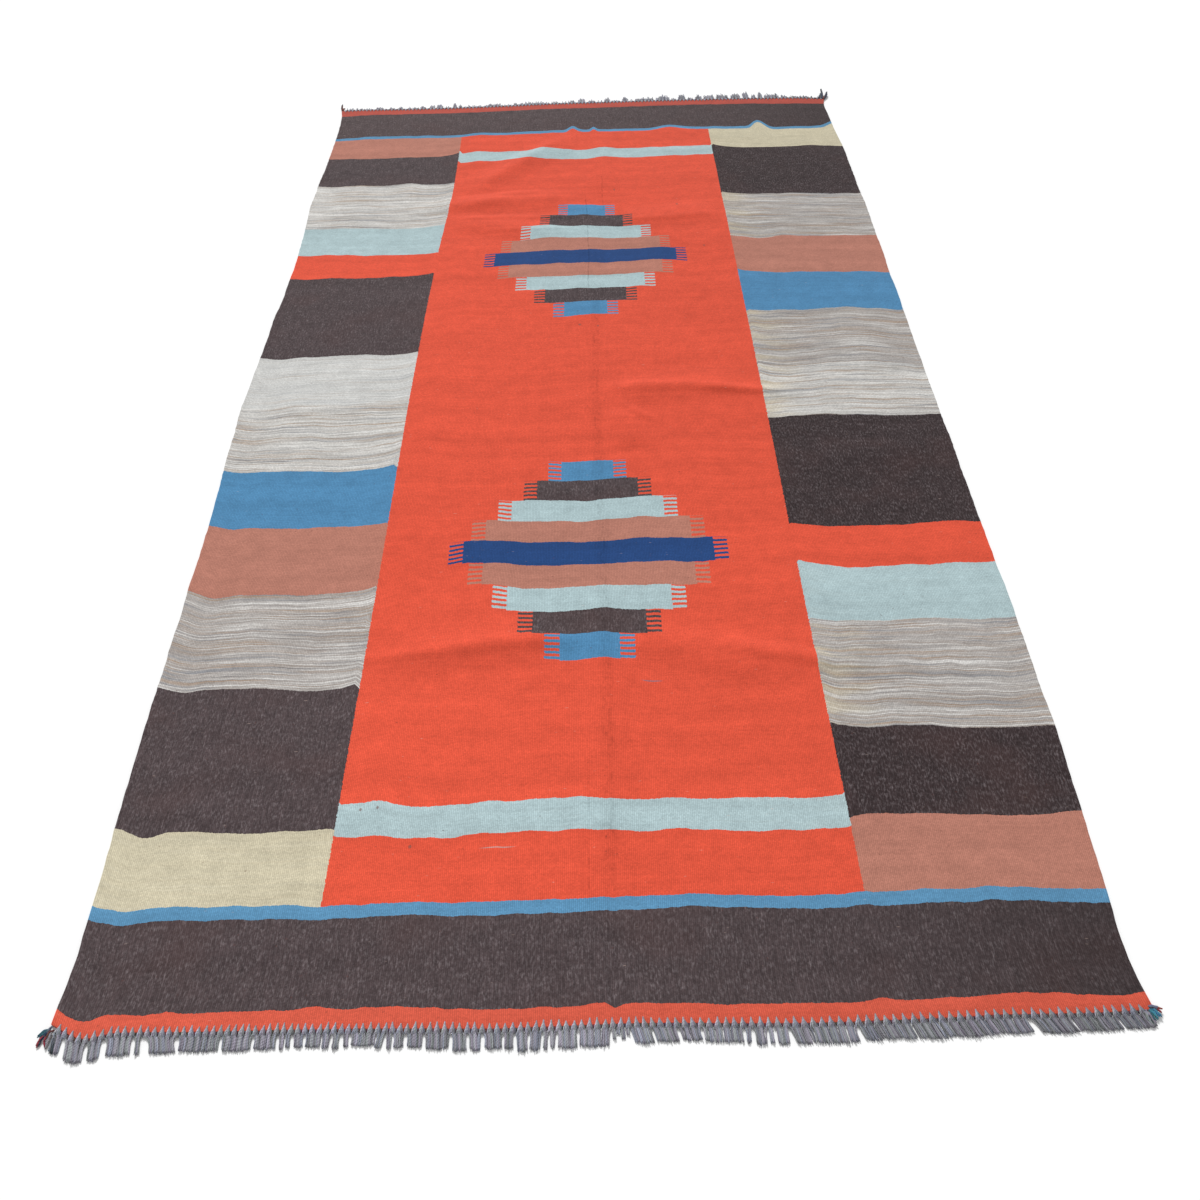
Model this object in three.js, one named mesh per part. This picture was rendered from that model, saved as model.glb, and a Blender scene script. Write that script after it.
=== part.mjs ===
// A flat-woven wool rug lying on a floor, with knotted warp fringes and corner tufts.
// Millimetres, +Z up, +X to the right, +Y along the warp towards the far end.
// The origin is on the floor under the middle of the rug, fringes included.

import * as THREE from 'three';

// Cloth
const WEAVE_WIDTH = 1700;
const CLOTH_THICKNESS = 4;
const CLOTH_ROWS = 54;

// Fringe: a knot gathers a few warps at every tooth along each end
const TEETH = 128;
const TEETH_PER_CLOTH_COLUMN = 4;
const CORNER_TEETH = 1;
const PIECE_GAP = 0.3;

// Section of the knotted strip, out from the cloth's edge and up from the floor
const STRIP = { depth: 9, ridge: 4, innerHeight: 3.4, valleyHeight: 2.4, outerHeight: 1.8 };
const KNOT = { height: 6.6, slant: 2.2, rootHeight: 4.4 };

// Three-sided strands, flat side down, as shares of the root's width and height
const STRAND_ROOT_SHARE = 0.62;
const STRAND_RINGS = [
  { along: 0, width: 1, height: 1, lean: 0 },
  { along: 0.5, width: 0.86, height: 0.8, lean: 0.36 },
  { along: 1, width: 0.62, height: 0.55, lean: 1 },
];

// How far each long side stands out past half the weave's width
const SIDES = [
  { along: -1524, left: 8, right: 6 },
  { along: -1440, left: 1, right: -7 },
  { along: -1300, left: -1, right: -1 },
  { along: -1000, left: 5, right: 11 },
  { along: -500, left: 7, right: 11 },
  { along: -100, left: 17, right: 9 },
  { along: 200, left: 9, right: 9 },
  { along: 600, left: -3, right: 11 },
  { along: 900, left: 5, right: 9 },
  { along: 1200, left: -7, right: 3 },
  { along: 1440, left: -5, right: -9 },
  { along: 1505, left: 4, right: 5 },
];

// Where the weave stops at each end: the far left corner is woven a little short
const ENDS = [
  { across: -858, near: -1512, far: 1480 },
  { across: -805, near: -1532, far: 1483 },
  { across: -755, near: -1524, far: 1484 },
  { across: -620, near: -1526, far: 1483 },
  { across: -460, near: -1526, far: 1484 },
  { across: -300, near: -1528, far: 1489 },
  { across: -170, near: -1531, far: 1497 },
  { across: -60, near: -1528, far: 1503 },
  { across: 60, near: -1528, far: 1505 },
  { across: 300, near: -1532, far: 1511 },
  { across: 500, near: -1531, far: 1515 },
  { across: 620, near: -1527, far: 1516 },
  { across: 770, near: -1528, far: 1515 },
  { across: 858, near: -1518, far: 1505 },
];

// Soft folds where the cloth stands off the floor: a crest from one place to another
const FOLDS = [
  { name: 'far diagonal', fromX: -390, fromY: 905, toX: -20, toY: 1270, height: 9, reach: 85 },
  { name: 'far left upper', fromX: -450, fromY: 828, toX: 0, toY: 888, height: 7, reach: 70 },
  { name: 'far left lower', fromX: -455, fromY: 752, toX: 5, toY: 668, height: 7, reach: 75 },
  { name: 'far right', fromX: 30, fromY: 738, toX: 450, toY: 790, height: 6, reach: 80 },
  { name: 'far centre', fromX: 64, fromY: 1300, toX: 48, toY: 850, height: 5, reach: 60 },
  { name: 'middle right', fromX: 15, fromY: -48, toX: 430, toY: -14, height: 7, reach: 80 },
  { name: 'middle hook', fromX: 70, fromY: -100, toX: 100, toY: -270, height: 6, reach: 70 },
  { name: 'near left', fromX: -465, fromY: -842, toX: 0, toY: -786, height: 7, reach: 75 },
  { name: 'near right', fromX: 20, fromY: -766, toX: 420, toY: -872, height: 7, reach: 75 },
  { name: 'near fold line', fromX: 12, fromY: -560, toX: 22, toY: -1390, height: 5, reach: 60 },
  { name: 'far fold line', fromX: 0, fromY: 860, toX: 6, toY: 390, height: 4, reach: 60 },
  { name: 'left column', fromX: -850, fromY: -60, toX: -470, toY: -130, height: 5, reach: 90 },
  { name: 'right column', fromX: 470, fromY: -330, toX: 855, toY: -240, height: 5, reach: 90 },
];
const FOLD_FADE = 0.3;

// Strands lie in locks that part from each other, from left to right: the far rows repeat along the end
const NEAR_LOCKS = [
  { strands: 1, lean: -5, length: 28, gather: 0 },
  { strands: 3, lean: -4, length: 26, gather: 0.1 },
  { strands: 2, lean: -4, length: 28, gather: 0.25 },
  { strands: 3, lean: -3, length: 28, gather: 0.1 },
  { strands: 1, lean: 0, length: 29, gather: 0 },
  { strands: 4, lean: 2, length: 26, gather: 0.2 },
  { strands: 5, lean: -2, length: 23, gather: 0.06 },
  { strands: 4, lean: -5, length: 22, gather: 0.12 },
  { strands: 3, lean: -6, length: 21, gather: 0.25 },
  { strands: 1, lean: -1, length: 24, gather: 0 },
  { strands: 1, lean: -3, length: 19, gather: 0 },
  { strands: 1, lean: -1, length: 20, gather: 0 },
  { strands: 2, lean: -3, length: 20, gather: 0.2 },
  { strands: 1, lean: -3, length: 24, gather: 0 },
  { strands: 1, lean: 2, length: 26, gather: 0 },
  { strands: 1, lean: 0, length: 22, gather: 0 },
  { strands: 3, lean: -3, length: 21, gather: 0.12 },
  { strands: 1, lean: -2, length: 19, gather: 0 },
  { strands: 1, lean: 1, length: 26, gather: 0 },
  { strands: 2, lean: -2, length: 20, gather: 0.2 },
  { strands: 2, lean: -4, length: 20, gather: 0.3 },
  { strands: 5, lean: 0, length: 23, gather: 0.08 },
  { strands: 1, lean: 5, length: 24, gather: 0 },
  { strands: 3, lean: 5, length: 23, gather: 0.15 },
  { strands: 1, lean: 1, length: 23, gather: 0 },
  { strands: 3, lean: 1, length: 28, gather: 0.15 },
  { strands: 1, lean: -2, length: 29, gather: 0 },
  { strands: 3, lean: 2, length: 27, gather: 0.2 },
  { strands: 2, lean: 2, length: 26, gather: 0.1 },
  { strands: 2, lean: 1, length: 27, gather: 0.1 },
  { strands: 1, lean: 0, length: 14, gather: 0 },
  { strands: 1, lean: 1, length: 18, gather: 0 },
  { strands: 3, lean: 6, length: 22, gather: 0.15 },
  { strands: 3, lean: 8, length: 21, gather: 0.1 },
  { strands: 3, lean: 5, length: 19, gather: 0.08 },
  { strands: 4, lean: 4, length: 21, gather: 0.06 },
  { strands: 1, lean: 2, length: 19, gather: 0 },
  { strands: 5, lean: 2, length: 24, gather: 0.08 },
  { strands: 2, lean: 6, length: 23, gather: 0.2 },
  { strands: 3, lean: 8, length: 25, gather: 0.08 },
  { strands: 1, lean: 10, length: 26, gather: 0 },
  { strands: 2, lean: 11, length: 25, gather: 0.1 },
  { strands: 4, lean: 9, length: 20, gather: 0.12 },
  { strands: 2, lean: 10, length: 25, gather: 0.2 },
  { strands: 6, lean: 12, length: 21, gather: 0.04 },
  { strands: 4, lean: 13, length: 20, gather: 0.05 },
  { strands: 4, lean: 13, length: 25, gather: 0.06 },
  { strands: 5, lean: 12, length: 23, gather: 0.1 },
  { strands: 4, lean: 8, length: 24, gather: 0.06 },
  { strands: 4, lean: 2, length: 23, gather: 0.1 },
];
const FAR_LOCKS = [
  { strands: 3, lean: 0, length: 9, gather: 0.1 },
  { strands: 1, lean: 1, length: 15, gather: 0 },
  { strands: 2, lean: 0, length: 7, gather: 0.1 },
  { strands: 2, lean: 1, length: 18, gather: 0.3 },
  { strands: 1, lean: 0, length: 12, gather: 0 },
  { strands: 1, lean: -1, length: 20, gather: 0 },
  { strands: 3, lean: 1, length: 17, gather: 0.1 },
  { strands: 1, lean: 0, length: 8, gather: 0 },
  { strands: 2, lean: -2, length: 21, gather: 0.3 },
  { strands: 5, lean: 0, length: 15, gather: 0.08 },
  { strands: 3, lean: 0, length: 8, gather: 0.1 },
  { strands: 2, lean: 2, length: 23, gather: 0.2 },
  { strands: 4, lean: 1, length: 26, gather: 0.12 },
  { strands: 1, lean: 0, length: 10, gather: 0 },
  { strands: 3, lean: -1, length: 22, gather: 0.15 },
  { strands: 1, lean: 2, length: 29, gather: 0 },
  { strands: 2, lean: 0, length: 11, gather: 0.1 },
  { strands: 2, lean: -1, length: 25, gather: 0.25 },
];
const LOCK_ROUNDING = 0.18;

// Corner tufts where the side cords end: the lean and length of each of their strands
const TUFTS = [
  {
    name: 'tuft_near_left',
    end: 'near',
    from: -871,
    to: -846.5,
    colour: 0x2c4a58,
    strands: [{ lean: -1, length: 16 }, { lean: -1.5, length: 24 }, { lean: -1, length: 27 }],
  },
  {
    name: 'tuft_near_right',
    end: 'near',
    from: 846.5,
    to: 868,
    colour: 0x3d7d96,
    strands: [{ lean: 0, length: 25 }, { lean: 1, length: 18 }, { lean: 3, length: 12 }],
  },
  {
    name: 'tuft_far_left',
    end: 'far',
    from: -862,
    to: -846.5,
    colour: 0x6b3a38,
    strands: [{ lean: -1, length: 22 }, { lean: 1, length: 13 }],
  },
  {
    name: 'tuft_far_right',
    end: 'far',
    from: 846.5,
    to: 868,
    colour: 0x3a4048,
    strands: [{ lean: -1, length: 24 }, { lean: 0, length: 56 }, { lean: 7, length: 38 }],
  },
];

// Colours of the plain materials
const WEAVE_COLOUR = 0xde5c44;
const FRINGE_COLOUR = 0x9a9ea7;

// Smooth curve through a table's rows, level beyond its first and last
function curveThrough(rows, place, value) {
  const slope = (i) => {
    const before = rows[Math.max(i - 1, 0)];
    const after = rows[Math.min(i + 1, rows.length - 1)];
    return (after[value] - before[value]) / (after[place] - before[place]);
  };
  return (at) => {
    if (at <= rows[0][place]) return rows[0][value];
    if (at >= rows[rows.length - 1][place]) return rows[rows.length - 1][value];
    const i = rows.findIndex((row) => row[place] > at) - 1;
    const span = rows[i + 1][place] - rows[i][place];
    const t = (at - rows[i][place]) / span;
    const startSlope = slope(i) * span;
    const endSlope = slope(i + 1) * span;
    const rise = rows[i + 1][value] - rows[i][value];
    const bend = 3 * rise - 2 * startSlope - endSlope;
    const twist = startSlope + endSlope - 2 * rise;
    return rows[i][value] + t * (startSlope + t * (bend + t * twist));
  };
}

const leftBow = curveThrough(SIDES, 'along', 'left');
const rightBow = curveThrough(SIDES, 'along', 'right');
const END_CURVES = {
  near: curveThrough(ENDS, 'across', 'near'),
  far: curveThrough(ENDS, 'across', 'far'),
};

const COLUMNS = TEETH / TEETH_PER_CLOTH_COLUMN;
const CORNER_X = ENDS[ENDS.length - 1].across;
const COLUMN_WIDTH = (2 * CORNER_X) / COLUMNS;
const TOOTH_PITCH = (2 * CORNER_X) / TEETH;

// The end's edge as the cloth's straight facets draw it, so that a strip can follow it
function endLine(end) {
  const curve = END_CURVES[end];
  return (x) => {
    const column = THREE.MathUtils.clamp((x + CORNER_X) / COLUMN_WIDTH, 0, COLUMNS);
    const left = Math.min(Math.floor(column), COLUMNS - 1);
    const leftY = curve(-CORNER_X + left * COLUMN_WIDTH);
    const rightY = curve(-CORNER_X + (left + 1) * COLUMN_WIDTH);
    return THREE.MathUtils.lerp(leftY, rightY, column - left);
  };
}

// How high a fold lifts the cloth at a place: nothing beyond its reach and at its ends
function foldLift(fold, x, y) {
  const runX = fold.toX - fold.fromX;
  const runY = fold.toY - fold.fromY;
  const length = Math.hypot(runX, runY);
  const along = ((x - fold.fromX) * runX + (y - fold.fromY) * runY) / (length * length);
  const across = ((x - fold.fromX) * runY - (y - fold.fromY) * runX) / length;
  if (along <= 0 || along >= 1 || Math.abs(across) >= fold.reach) return 0;
  const fade = THREE.MathUtils.smoothstep(Math.min(along, 1 - along), 0, FOLD_FADE);
  return fold.height * fade * Math.cos((Math.PI * across) / (2 * fold.reach)) ** 2;
}

function clothLift(x, y) {
  return FOLDS.reduce((sum, fold) => sum + foldLift(fold, x, y), 0);
}

// Points and triangles of one solid; a mirrored solid has its triangles turned over
class Facets {
  constructor(mirrored = false) {
    this.mirrored = mirrored;
    this.points = [];
    this.triangles = [];
  }

  point(x, y, z) {
    this.points.push(x, y, z);
    return this.points.length / 3 - 1;
  }

  fan(...corners) {
    for (let i = 1; i < corners.length - 1; i += 1) {
      const triangle = [corners[0], corners[i], corners[i + 1]];
      if (this.mirrored) triangle.reverse();
      this.triangles.push(...triangle);
    }
  }

  mesh(name, colour) {
    const geometry = new THREE.BufferGeometry();
    geometry.setAttribute('position', new THREE.Float32BufferAttribute(this.points, 3));
    geometry.setIndex(this.triangles);
    geometry.computeVertexNormals();
    const material = new THREE.MeshStandardMaterial({ color: colour, roughness: 0.95, metalness: 0 });
    const mesh = new THREE.Mesh(geometry, material);
    mesh.name = name;
    return mesh;
  }
}

// The woven cloth: one sheet of even thickness with the outline's bows and the soft folds
function wovenCloth() {
  const facets = new Facets();
  const nearLine = endLine('near');
  const farLine = endLine('far');
  const firstRow = SIDES[0].along;
  const lastRow = SIDES[SIDES.length - 1].along;

  const grid = [];
  for (let row = 0; row <= CLOTH_ROWS; row += 1) {
    const v = row / CLOTH_ROWS;
    const along = THREE.MathUtils.lerp(firstRow, lastRow, v);
    const leftX = -WEAVE_WIDTH / 2 - leftBow(along);
    const rightX = WEAVE_WIDTH / 2 + rightBow(along);
    const line = [];
    for (let column = 0; column <= COLUMNS; column += 1) {
      const u = column / COLUMNS;
      const across = THREE.MathUtils.lerp(-CORNER_X, CORNER_X, u);
      const isEnd = row === 0 || row === CLOTH_ROWS;
      const x = isEnd ? across : THREE.MathUtils.lerp(leftX, rightX, u);
      const y = THREE.MathUtils.lerp(nearLine(across), farLine(across), v);
      const lift = isEnd ? 0 : clothLift(x, y);
      line.push({
        under: facets.point(x, y, lift),
        top: facets.point(x, y, lift + CLOTH_THICKNESS),
      });
    }
    grid.push(line);
  }

  for (let row = 0; row < CLOTH_ROWS; row += 1) {
    for (let column = 0; column < COLUMNS; column += 1) {
      const a = grid[row][column];
      const b = grid[row][column + 1];
      const c = grid[row + 1][column + 1];
      const d = grid[row + 1][column];
      facets.fan(a.top, b.top, c.top, d.top);
      facets.fan(a.under, d.under, c.under, b.under);
    }
  }

  const rim = [
    ...grid[0].slice(0, -1),
    ...grid.slice(0, -1).map((line) => line[COLUMNS]),
    ...grid[CLOTH_ROWS].slice(1).reverse(),
    ...grid.slice(1).map((line) => line[0]).reverse(),
  ];
  rim.forEach((here, i) => {
    const next = rim[(i + 1) % rim.length];
    facets.fan(here.under, next.under, next.top, here.top);
  });
  return facets.mesh('rug_weave', WEAVE_COLOUR);
}

// A knotted strip beside an end of the cloth, with a strand running out of every knot
function knottedComb({ name, end, from, to, strands, colour }) {
  const side = end === 'near' ? -1 : 1;
  const facets = new Facets(side < 0);
  const edge = endLine(end);
  const place = (x, out, z) => facets.point(x, edge(x) + side * (PIECE_GAP + out), z);
  const pitch = (to - from) / strands.length;
  const rootHalf = (pitch * STRAND_ROOT_SHARE) / 2;

  // Between two knots the strip dips to a valley
  const valley = (x) => ({
    innerUnder: place(x, 0, 0),
    innerTop: place(x, 0, STRIP.innerHeight),
    ridgeTop: place(x, STRIP.ridge, STRIP.valleyHeight),
    outerTop: place(x, STRIP.depth, STRIP.outerHeight),
    outerUnder: place(x, STRIP.depth, 0),
  });
  const valleys = [];
  for (let tooth = 0; tooth <= strands.length; tooth += 1) valleys.push(valley(from + tooth * pitch));

  // Each ring of a strand keeps its flat side on the floor
  const ring = (centre, strand, step) => {
    const x = centre + strand.lean * step.lean;
    const out = STRIP.depth + strand.length * step.along;
    const half = rootHalf * step.width;
    return {
      left: place(x - half, out, 0),
      right: place(x + half, out, 0),
      top: place(x, out, KNOT.rootHeight * step.height),
    };
  };

  strands.forEach((strand, tooth) => {
    const a = valleys[tooth];
    const b = valleys[tooth + 1];
    const centre = from + (tooth + 0.5) * pitch;
    const knot = place(centre - KNOT.slant, STRIP.ridge, KNOT.height);
    const rings = STRAND_RINGS.map((step) => ring(centre, strand, step));
    const root = rings[0];

    facets.fan(a.innerUnder, b.innerUnder, b.innerTop, a.innerTop);
    facets.fan(knot, a.ridgeTop, a.innerTop, b.innerTop, b.ridgeTop);
    facets.fan(a.ridgeTop, knot, root.top, a.outerTop);
    facets.fan(knot, b.ridgeTop, b.outerTop, root.top);
    facets.fan(a.outerUnder, a.outerTop, root.top, root.left);
    facets.fan(root.right, root.top, b.outerTop, b.outerUnder);
    facets.fan(a.innerUnder, a.outerUnder, root.left, root.right, b.outerUnder, b.innerUnder);

    for (let i = 0; i < rings.length - 1; i += 1) {
      const here = rings[i];
      const next = rings[i + 1];
      facets.fan(here.left, next.left, next.right, here.right);
      facets.fan(here.left, here.top, next.top, next.left);
      facets.fan(here.top, here.right, next.right, next.top);
    }
    const tip = rings[rings.length - 1];
    facets.fan(tip.left, tip.top, tip.right);
  });

  const first = valleys[0];
  const last = valleys[valleys.length - 1];
  facets.fan(first.innerUnder, first.innerTop, first.ridgeTop, first.outerTop, first.outerUnder);
  facets.fan(last.innerUnder, last.outerUnder, last.outerTop, last.ridgeTop, last.innerTop);
  return facets.mesh(name, colour);
}

// The strands of a whole end, lock after lock: a lock's tips draw together and round off
function strandsInLocks(locks, count) {
  const strands = [];
  for (let lockIndex = 0; strands.length < count; lockIndex += 1) {
    const lock = locks[lockIndex % locks.length];
    for (let i = 0; i < lock.strands && strands.length < count; i += 1) {
      const offCentre = i - (lock.strands - 1) / 2;
      const rounding = 1 - LOCK_ROUNDING * (Math.abs(offCentre) / (lock.strands / 2)) ** 2;
      strands.push({
        lean: lock.lean - offCentre * TOOTH_PITCH * lock.gather,
        length: lock.length * rounding,
      });
    }
  }
  return strands;
}

function endFringe(name, end, locks) {
  const reach = CORNER_X - CORNER_TEETH * TOOTH_PITCH;
  const strands = strandsInLocks(locks, TEETH - 2 * CORNER_TEETH);
  return knottedComb({ name, end, from: -reach, to: reach, strands, colour: FRINGE_COLOUR });
}

// Stands the middle of the whole rug over the origin
function centred(group) {
  const box = new THREE.Box3().setFromObject(group);
  const middle = box.getCenter(new THREE.Vector3());
  group.position.set(-middle.x, -middle.y, -box.min.z);
  group.updateMatrixWorld(true);
  return group;
}

const rug = new THREE.Group();
rug.name = 'flat_woven_rug';
rug.add(wovenCloth());
rug.add(endFringe('fringe_near', 'near', NEAR_LOCKS));
rug.add(endFringe('fringe_far', 'far', FAR_LOCKS));
for (const tuft of TUFTS) rug.add(knottedComb(tuft));

export default centred(rug);
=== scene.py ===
# A flat-woven wool rug spread on a pale floor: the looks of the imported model.
# Metres, and millimetres in the tables that say so. All is measured from the middle of the weave:
# across to the right, along towards the far end, up from the floor.

import math
import random
from collections import namedtuple

import bpy
import numpy as np
from mathutils import Matrix, Vector


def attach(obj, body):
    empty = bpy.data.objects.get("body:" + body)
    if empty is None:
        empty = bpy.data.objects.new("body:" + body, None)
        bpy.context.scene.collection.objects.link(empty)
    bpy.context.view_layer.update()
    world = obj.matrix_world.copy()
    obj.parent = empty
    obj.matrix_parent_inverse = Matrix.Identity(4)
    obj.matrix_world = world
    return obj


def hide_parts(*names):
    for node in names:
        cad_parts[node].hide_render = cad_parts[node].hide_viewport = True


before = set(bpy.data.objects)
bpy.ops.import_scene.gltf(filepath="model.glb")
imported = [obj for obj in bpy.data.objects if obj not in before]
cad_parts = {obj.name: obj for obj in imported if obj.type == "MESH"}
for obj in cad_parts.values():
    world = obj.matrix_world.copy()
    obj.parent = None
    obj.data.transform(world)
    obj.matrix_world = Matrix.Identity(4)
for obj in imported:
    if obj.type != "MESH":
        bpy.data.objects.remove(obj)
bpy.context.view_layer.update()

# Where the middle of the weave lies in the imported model, whose origin is the middle of the whole rug
WEAVE_MIDDLE = (-0.000897, -0.001561)

# Cloth
WEAVE_WIDTH = 1.7
WEAVE_LENGTH = 3.027
CLOTH_THICKNESS = 0.004
CORNER_ACROSS = 0.858
CLOTH_COLUMNS = 172
CLOTH_ROWS = 330
CLOSER = 1.7
RIM_STEPS = 6
RIM_BULGE = 0.0018
WARP_PITCH = 0.0033
WEFT_PITCH = 0.0024

# Fringes: a knot gathers a few warps at every tooth along each end
TEETH = 138
YARNS_PER_KNOT = 7
LEGS = 5
LEG_RADIUS = 0.00098
STRIP_DEPTH = 0.0085
ROOT_OUT = 0.0016
ROOT_LEVEL = 0.003
LOCK_TAPER = 0.6
LOCK_FLARE = 0.25
KNOT_GATHER = 0.32
KNOT_SHADE = 0.46
COMBED_LEAN = 0.008
COMBED_TAPER = 0.08
LONE_TIP = 0.44
YARN_TWIST = 600


def table(kind, *rows):
    return tuple(kind(*row) for row in rows)


def millimetres(kind, *rows):
    """A table written in millimetres, turned into metres."""
    return table(kind, *[[value / 1000 for value in row] for row in rows])


# How far each long side stands out past half the weave's width
Side = namedtuple("Side", "along left right")
SIDES = millimetres(
    Side,
    (-1524, 4, 6), (-1440, -1, -7), (-1300, -1, -1), (-1000, 5, 11), (-500, 7, 11), (-100, 17, 9),
    (200, 9, 9), (600, -3, 11), (900, 5, 9), (1200, -7, 3), (1440, -5, -9), (1505, 4, 1),
)

# Where the weave stops at each end
End = namedtuple("End", "across near far")
ENDS = millimetres(
    End,
    (-858, -1512, 1480), (-805, -1534, 1483), (-755, -1527, 1484), (-620, -1528, 1484), (-460, -1528, 1487),
    (-300, -1530, 1494), (-170, -1533, 1502), (-90, -1532, 1506), (60, -1530, 1510), (300, -1535, 1516),
    (500, -1533, 1518), (620, -1530, 1518), (770, -1530, 1516), (858, -1527, 1506),
)

# Soft folds where the cloth stands off the floor: a crest from one place to another
Fold = namedtuple("Fold", "from_x from_y to_x to_y height reach")
FOLDS = millimetres(
    Fold,
    (-390, 905, -20, 1270, 9, 85), (-450, 828, 0, 888, 7, 70), (-455, 752, 5, 668, 7, 75),
    (30, 738, 450, 790, 6, 80), (64, 1300, 48, 850, 5, 60), (15, -48, 430, -14, 7, 80),
    (70, -100, 100, -270, 6, 70), (-465, -842, 0, -786, 7, 75), (20, -786, 420, -892, 7, 75),
    (12, -560, 22, -1390, 5, 60), (0, 860, 6, 390, 4, 60), (-850, -60, -470, -130, 5, 90),
    (470, -330, 855, -240, 5, 90),
)
FOLD_FADE = 0.3

# Narrower ridges along the crests of the folds
RIDGES = millimetres(
    Fold,
    (-600, 806, -180, 872, 6, 46), (-480, 862, -100, 922, 2.4, 22), (-450, 764, 40, 772, 2.6, 20),
    (-340, 690, 0, 696, 1.4, 15), (-380, 890, -20, 1310, 3.2, 36), (-20, -32, 520, -50, 3.6, 30),
    (250, -46, 560, -56, 3, 22), (60, -80, 170, -165, 2.6, 18), (-360, -828, 50, -788, 4.2, 32),
    (-500, -846, -270, -822, 1.8, 18), (230, -822, 560, -880, 6.2, 32), (30, 722, 430, 772, 1.8, 20),
)

# Narrow creases on the top of the cloth, along the old fold lines: negative is a trough
CREASES = millimetres(
    Fold,
    (24, -600, 21, -1400, 1.2, 11), (19, -560, 12, 380, 0.6, 10), (-3, 900, -2, 400, -1, 8),
    (48, 1020, 49, 800, -0.8, 9), (-18, -1090, -19, -1330, -0.9, 7),
)

# Painted shade in thin dark lines where neighbouring wefts turn back and leave a slit, and in flecks along
# the middle fold crease
Slit = namedtuple("Slit", "across from_along to_along half_width depth")
SLITS = table(
    Slit,
    (-0.003, 0.39, 0.905, 0.0016, 0.3), (0.049, 0.79, 1.02, 0.0016, 0.22),
    (-0.018, -1.33, -1.08, 0.0014, 0.16),
)
# Painted shade in flecks along the middle fold crease
FOLD_CREASE_SHADE = Slit(0.018, -1.42, 0.38, 0.012, 0.24)

# Places where the weft lines rise or dip: how far, and how far about
Hump = namedtuple("Hump", "across along rise reach_across reach_along")
WEFT_HUMPS = millimetres(
    Hump,
    (-600, -1380, -3, 200, 120), (-812, -1490, -5.5, 20, 30), (-778, -1490, 5.5, 17, 30),
    (-717, -1490, -3, 20, 30), (-675, -1490, 3, 12, 30), (-535, -1490, 2.5, 35, 30),
    (-400, -1490, -1.8, 16, 30), (-322, -1490, 3, 12, 30), (-450, -1500, 6, 30, 30),
    (-460, -1345, -4, 60, 50), (-330, -1420, 4, 80, 120), (2, -1500, 2.5, 34, 30), (21, -1500, -8, 9, 30),
    (22, -1340, -4, 10, 50), (68, -1490, 1.6, 20, 30), (490, -1490, -1.3, 50, 30),
    (588, -1490, 2.2, 18, 30), (716, -1490, 4.2, 22, 30), (842, -1490, 7, 16, 40), (200, -1360, 6, 130, 50),
    (438, -1420, 6, 20, 120), (550, -1360, 3, 40, 60), (655, -1400, 7, 26, 120), (840, -1430, -10, 70, 140),
    (-835, -1490, -6, 22, 50), (-845, -1345, -10, 22, 60), (594, 1330, 50, 26, 80), (850, 1330, 34, 35, 80),
    (700, 1330, -16, 180, 120), (-41, 1330, 27, 18, 60), (30, 1330, 19, 11, 60), (288, 1310, 23, 50, 80),
    (250, 1310, -8, 150, 120), (-850, 1300, -14, 70, 120), (-470, 1300, -8, 50, 80),
    (-360, 1300, 8, 40, 80), (-840, 1470, -5, 60, 40), (20, 1480, -4, 90, 40), (700, 1470, -3, 60, 40),
    (-500, 390, 16, 35, 60), (-700, -350, 8, 110, 200), (-560, 950, 14, 50, 120), (520, 640, -16, 50, 90),
    (560, -180, 10, 80, 110), (700, 150, 10, 90, 150), (-330, 250, 10, 50, 200), (-250, -700, 9, 70, 150),
    (200, 500, 12, 70, 140),
)

# Long gentle drift of the weft lines: size, waves per metre each way, and start of the wave
Drift = namedtuple("Drift", "size across along start")
WEFT_DRIFT = table(
    Drift,
    (0.0035, 1.64, 0.59, 0.4), (0.0026, 3.03, -1.11, 2.0), (0.0013, 5.88, 1.89, 4.1),
    (0.0007, 11.3, -3.7, 1.2),
)
END_FADE = 0.022
EDGE_LIFT = 0.013
EDGE_LIFT_REACH = 0.034

# The joins between the side columns and the field, at places along the rug
Join = namedtuple("Join", "along left right")
JOINS = millimetres(
    Join,
    (-1350, -466, 444), (-700, -458, 438), (0, -452, 434), (600, -436, 428), (900, -420, 424),
    (1320, -417, 420),
)
JOIN_LEFT = -0.45
JOIN_RIGHT = 0.434

# Wool colours: red, green and blue in linear light, and how streaky the wool is
WOOLS = {
    "red": (0.68, 0.086, 0.045, 0),
    "near_red": (0.622, 0.101, 0.06, 0),
    "far_red": (0.43, 0.08, 0.058, 0),
    "dark": (0.066, 0.048, 0.05, 0),
    "far_dark": (0.074, 0.053, 0.054, 0),
    "black_brown": (0.037, 0.025, 0.026, 0),
    "blue": (0.078, 0.23, 0.412, 0),
    "line_blue": (0.1, 0.258, 0.425, 0),
    "pale": (0.385, 0.5, 0.52, 0.06),
    "tan": (0.43, 0.182, 0.134, 0),
    "cream": (0.54, 0.49, 0.355, 0.1),
    "ivory": (0.55, 0.55, 0.535, 0.36),
    "streaked": (0.54, 0.525, 0.5, 1),
    "grey": (0.385, 0.358, 0.338, 1),
    "navy": (0.018, 0.058, 0.185, 0),
    "teal": (0.068, 0.17, 0.235, 0),
    "brown": (0.18, 0.09, 0.074, 0),
}
PALE_FIBRE = (0.8, 0.8, 0.78, 1)
TAN_FIBRE = (0.33, 0.225, 0.15, 1)
SLATE_FIBRE = (0.215, 0.225, 0.25, 1)
BARK_FIBRE = (0.12, 0.09, 0.075, 1)
CREAM_FIBRE = (0.56, 0.48, 0.33, 1)
SPECK = (0.1, 0.03, 0.022, 1)
SLUB = (0.7, 0.52, 0.44, 1)
FLECK = (0.29, 0.25, 0.26, 1)
REDDISH = (0.085, 0.045, 0.042, 1)

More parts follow.
